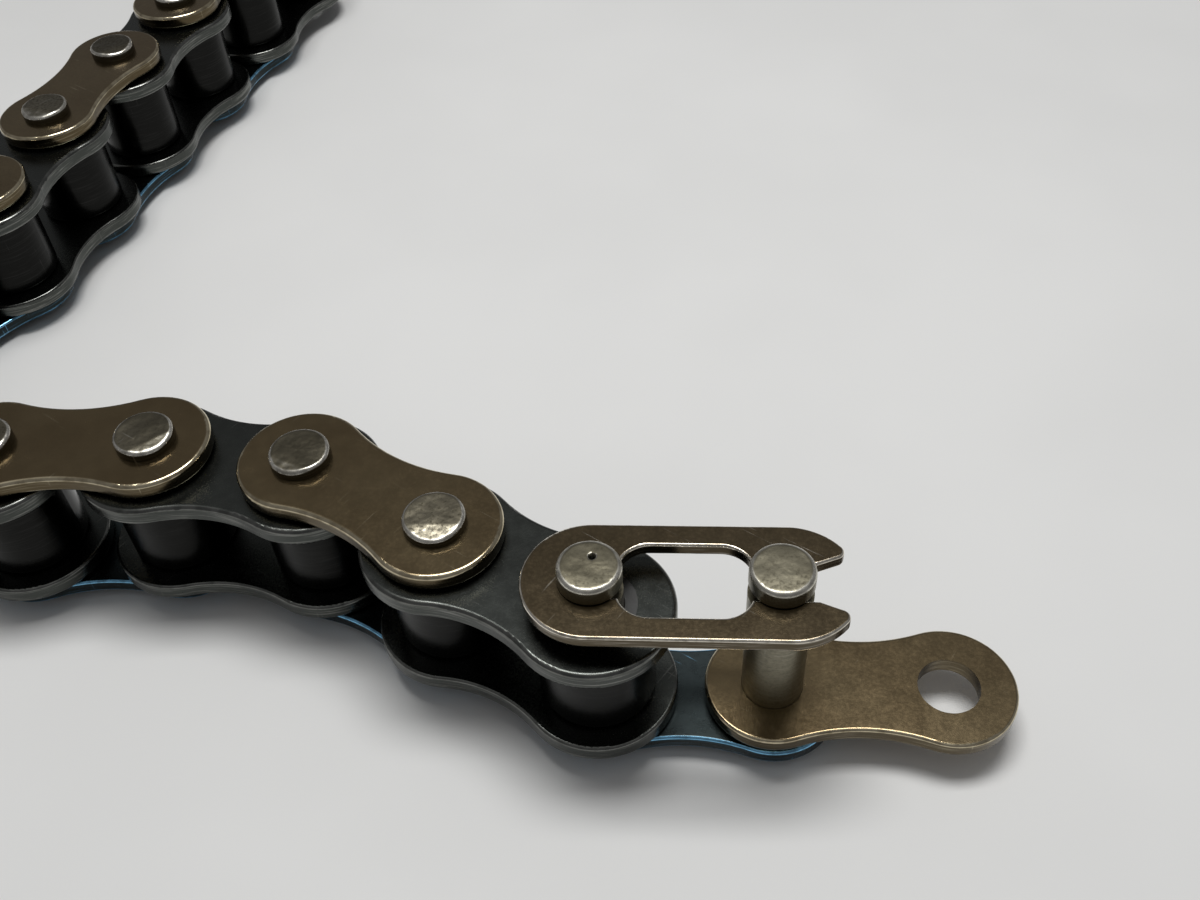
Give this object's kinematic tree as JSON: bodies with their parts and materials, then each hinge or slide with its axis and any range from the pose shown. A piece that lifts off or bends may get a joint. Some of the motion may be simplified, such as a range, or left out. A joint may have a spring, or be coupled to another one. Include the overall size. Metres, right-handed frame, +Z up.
{
  "type": "roller chain",
  "caption": "Open end of a half-inch pitch roller chain lying on its side, with its connecting link, spring clip and loose plate.",
  "frame": {"origin": "on the surface under the middle of the chain's bounding box", "axes": "+Z up along the pins, +X along the connecting link from its clipped chain pin to its free pin, +Y towards the far end of the chain"},
  "size_m": [0.1062, 0.1212, 0.0177],
  "materials": {
    "outer_plate_steel": "bronze-brown heat-tinted steel, semi-gloss, bright on worn edges",
    "blued_plate_steel": "dark teal, heat-blued steel, semi-gloss, bright blue on worn edges",
    "inner_plate_steel": "dark gunmetal grey steel, semi-gloss, bright on worn edges",
    "roller_steel": "near-black oiled steel, glossy",
    "bushing_steel": "dark oiled steel",
    "riveted_pin_steel": "grey steel, hammered and worn heads",
    "connecting_pin_steel": "light grey worn steel, mottled end faces",
    "clip_steel": "bronze-brown spring steel, semi-gloss, bright edges"
  },
  "bodies": {
    "connecting_link": {"connecting_link_base_plate": "blued_plate_steel", "connecting_link_free_pin": "connecting_pin_steel", "connecting_link_chain_pin": "connecting_pin_steel"},
    "loose_plate": {"connecting_link_loose_plate": "outer_plate_steel"},
    "spring_clip": {"spring_clip": "clip_steel"},
    "inner_link_1": {"inner_link_1_lower_plate": "inner_plate_steel", "inner_link_1_upper_plate": "inner_plate_steel", "inner_link_1_bushings": "bushing_steel"},
    "outer_link_1": {"outer_link_1_lower_plate": "blued_plate_steel", "outer_link_1_upper_plate": "outer_plate_steel", "outer_link_1_pins": "riveted_pin_steel"},
    "inner_link_2": {"inner_link_2_lower_plate": "inner_plate_steel", "inner_link_2_upper_plate": "inner_plate_steel", "inner_link_2_bushings": "bushing_steel"},
    "outer_link_2": {"outer_link_2_lower_plate": "blued_plate_steel", "outer_link_2_upper_plate": "outer_plate_steel", "outer_link_2_pins": "riveted_pin_steel"},
    "inner_link_3": {"inner_link_3_lower_plate": "inner_plate_steel", "inner_link_3_upper_plate": "inner_plate_steel", "inner_link_3_bushings": "bushing_steel"},
    "outer_link_3": {"outer_link_3_lower_plate": "blued_plate_steel", "outer_link_3_upper_plate": "outer_plate_steel", "outer_link_3_pins": "riveted_pin_steel"},
    "inner_link_4": {"inner_link_4_lower_plate": "inner_plate_steel", "inner_link_4_upper_plate": "inner_plate_steel", "inner_link_4_bushings": "bushing_steel"},
    "outer_link_4": {"outer_link_4_lower_plate": "blued_plate_steel", "outer_link_4_upper_plate": "outer_plate_steel", "outer_link_4_pins": "riveted_pin_steel"},
    "inner_link_5": {"inner_link_5_lower_plate": "inner_plate_steel", "inner_link_5_upper_plate": "inner_plate_steel", "inner_link_5_bushings": "bushing_steel"},
    "outer_link_5": {"outer_link_5_lower_plate": "blued_plate_steel", "outer_link_5_upper_plate": "outer_plate_steel", "outer_link_5_pins": "riveted_pin_steel"},
    "inner_link_6": {"inner_link_6_lower_plate": "inner_plate_steel", "inner_link_6_upper_plate": "inner_plate_steel", "inner_link_6_bushings": "bushing_steel"},
    "outer_link_6": {"outer_link_6_lower_plate": "blued_plate_steel", "outer_link_6_upper_plate": "outer_plate_steel", "outer_link_6_pins": "riveted_pin_steel"},
    "inner_link_7": {"inner_link_7_lower_plate": "inner_plate_steel", "inner_link_7_upper_plate": "inner_plate_steel", "inner_link_7_bushings": "bushing_steel"},
    "inner_link_1_roller_a": {"inner_link_1_roller_a": "roller_steel"},
    "inner_link_1_roller_b": {"inner_link_1_roller_b": "roller_steel"},
    "inner_link_2_roller_a": {"inner_link_2_roller_a": "roller_steel"},
    "inner_link_2_roller_b": {"inner_link_2_roller_b": "roller_steel"},
    "inner_link_3_roller_a": {"inner_link_3_roller_a": "roller_steel"},
    "inner_link_3_roller_b": {"inner_link_3_roller_b": "roller_steel"},
    "inner_link_4_roller_a": {"inner_link_4_roller_a": "roller_steel"},
    "inner_link_4_roller_b": {"inner_link_4_roller_b": "roller_steel"},
    "inner_link_5_roller_a": {"inner_link_5_roller_a": "roller_steel"},
    "inner_link_5_roller_b": {"inner_link_5_roller_b": "roller_steel"},
    "inner_link_6_roller_a": {"inner_link_6_roller_a": "roller_steel"},
    "inner_link_6_roller_b": {"inner_link_6_roller_b": "roller_steel"},
    "inner_link_7_roller_a": {"inner_link_7_roller_a": "roller_steel"},
    "inner_link_7_roller_b": {"inner_link_7_roller_b": "roller_steel"}
  },
  "joints": [
    {"name": "loose_plate_swivel", "type": "hinge", "parent": "connecting_link", "child": "loose_plate", "pos_m": [0.03547, -0.05471, 0.00328], "axis": [0, 0, 1], "range_deg": [-115, 115]},
    {"name": "spring_clip_slide", "type": "slide", "parent": "connecting_link", "child": "spring_clip", "axis": [-1, 0, 0], "range_m": [0, 0.005]},
    {"name": "connecting_link_to_inner_link_1", "type": "hinge", "parent": "connecting_link", "child": "inner_link_1", "pos_m": [0.02277, -0.05471, 0.00783], "axis": [0, 0, 1], "range_deg": [-34, 86]},
    {"name": "inner_link_1_to_outer_link_1", "type": "hinge", "parent": "inner_link_1", "child": "outer_link_1", "pos_m": [0.01135, -0.04914, 0.00783], "axis": [0, 0, -1], "range_deg": [-63, 57]},
    {"name": "outer_link_1_to_inner_link_2", "type": "hinge", "parent": "outer_link_1", "child": "inner_link_2", "pos_m": [0.00024, -0.04298, 0.00783], "axis": [0, 0, 1], "range_deg": [-81, 39]},
    {"name": "inner_link_2_to_outer_link_2", "type": "hinge", "parent": "inner_link_2", "child": "outer_link_2", "pos_m": [-0.01233, -0.04122, 0.00783], "axis": [0, 0, -1], "range_deg": [-49, 71]},
    {"name": "outer_link_2_to_inner_link_3", "type": "hinge", "parent": "outer_link_2", "child": "inner_link_3", "pos_m": [-0.02501, -0.04188, 0.00783], "axis": [0, 0, 1], "range_deg": [-48, 72]},
    {"name": "inner_link_3_to_outer_link_3", "type": "hinge", "parent": "inner_link_3", "child": "outer_link_3", "pos_m": [-0.03756, -0.03989, 0.00783], "axis": [0, 0, -1], "range_deg": [-100, 20]},
    {"name": "outer_link_3_to_inner_link_4", "type": "hinge", "parent": "outer_link_3", "child": "inner_link_4", "pos_m": [-0.04589, -0.03031, 0.00783], "axis": [0, 0, 1], "range_deg": [-25, 95]},
    {"name": "inner_link_4_to_outer_link_4", "type": "hinge", "parent": "inner_link_4", "child": "outer_link_4", "pos_m": [-0.04722, -0.01768, 0.00783], "axis": [0, 0, -1], "range_deg": [-97, 23]},
    {"name": "outer_link_4_to_inner_link_5", "type": "hinge", "parent": "outer_link_4", "child": "inner_link_5", "pos_m": [-0.04068, -0.00679, 0.00783], "axis": [0, 0, 1], "range_deg": [-78, 42]},
    {"name": "inner_link_5_to_outer_link_5", "type": "hinge", "parent": "inner_link_5", "child": "outer_link_5", "pos_m": [-0.03782, 0.00558, 0.00783], "axis": [0, 0, -1], "range_deg": [-61, 59]},
    {"name": "outer_link_5_to_inner_link_6", "type": "hinge", "parent": "outer_link_5", "child": "inner_link_6", "pos_m": [-0.03475, 0.01791, 0.00783], "axis": [0, 0, 1], "range_deg": [-59, 61]},
    {"name": "inner_link_6_to_outer_link_6", "type": "hinge", "parent": "inner_link_6", "child": "outer_link_6", "pos_m": [-0.03146, 0.03017, 0.00783], "axis": [0, 0, -1], "range_deg": [-60, 60]},
    {"name": "outer_link_6_to_inner_link_7", "type": "hinge", "parent": "outer_link_6", "child": "inner_link_7", "pos_m": [-0.02817, 0.04244, 0.00783], "axis": [0, 0, 1], "range_deg": [-60, 60]},
    {"name": "inner_link_1_roller_a_spin", "type": "hinge", "parent": "inner_link_1", "child": "inner_link_1_roller_a", "pos_m": [0.02277, -0.05471, 0.00783], "axis": [0, 0, 1], "continuous": true},
    {"name": "inner_link_1_roller_b_spin", "type": "hinge", "parent": "inner_link_1", "child": "inner_link_1_roller_b", "pos_m": [0.01135, -0.04914, 0.00783], "axis": [0, 0, 1], "continuous": true},
    {"name": "inner_link_2_roller_a_spin", "type": "hinge", "parent": "inner_link_2", "child": "inner_link_2_roller_a", "pos_m": [0.00024, -0.04298, 0.00783], "axis": [0, 0, 1], "continuous": true},
    {"name": "inner_link_2_roller_b_spin", "type": "hinge", "parent": "inner_link_2", "child": "inner_link_2_roller_b", "pos_m": [-0.01233, -0.04122, 0.00783], "axis": [0, 0, 1], "continuous": true},
    {"name": "inner_link_3_roller_a_spin", "type": "hinge", "parent": "inner_link_3", "child": "inner_link_3_roller_a", "pos_m": [-0.02501, -0.04188, 0.00783], "axis": [0, 0, 1], "continuous": true},
    {"name": "inner_link_3_roller_b_spin", "type": "hinge", "parent": "inner_link_3", "child": "inner_link_3_roller_b", "pos_m": [-0.03756, -0.03989, 0.00783], "axis": [0, 0, 1], "continuous": true},
    {"name": "inner_link_4_roller_a_spin", "type": "hinge", "parent": "inner_link_4", "child": "inner_link_4_roller_a", "pos_m": [-0.04589, -0.03031, 0.00783], "axis": [0, 0, 1], "continuous": true},
    {"name": "inner_link_4_roller_b_spin", "type": "hinge", "parent": "inner_link_4", "child": "inner_link_4_roller_b", "pos_m": [-0.04722, -0.01768, 0.00783], "axis": [0, 0, 1], "continuous": true},
    {"name": "inner_link_5_roller_a_spin", "type": "hinge", "parent": "inner_link_5", "child": "inner_link_5_roller_a", "pos_m": [-0.04068, -0.00679, 0.00783], "axis": [0, 0, 1], "continuous": true},
    {"name": "inner_link_5_roller_b_spin", "type": "hinge", "parent": "inner_link_5", "child": "inner_link_5_roller_b", "pos_m": [-0.03782, 0.00558, 0.00783], "axis": [0, 0, 1], "continuous": true},
    {"name": "inner_link_6_roller_a_spin", "type": "hinge", "parent": "inner_link_6", "child": "inner_link_6_roller_a", "pos_m": [-0.03475, 0.01791, 0.00783], "axis": [0, 0, 1], "continuous": true},
    {"name": "inner_link_6_roller_b_spin", "type": "hinge", "parent": "inner_link_6", "child": "inner_link_6_roller_b", "pos_m": [-0.03146, 0.03017, 0.00783], "axis": [0, 0, 1], "continuous": true},
    {"name": "inner_link_7_roller_a_spin", "type": "hinge", "parent": "inner_link_7", "child": "inner_link_7_roller_a", "pos_m": [-0.02817, 0.04244, 0.00783], "axis": [0, 0, 1], "continuous": true},
    {"name": "inner_link_7_roller_b_spin", "type": "hinge", "parent": "inner_link_7", "child": "inner_link_7_roller_b", "pos_m": [-0.02489, 0.05471, 0.00783], "axis": [0, 0, 1], "continuous": true}
  ]
}
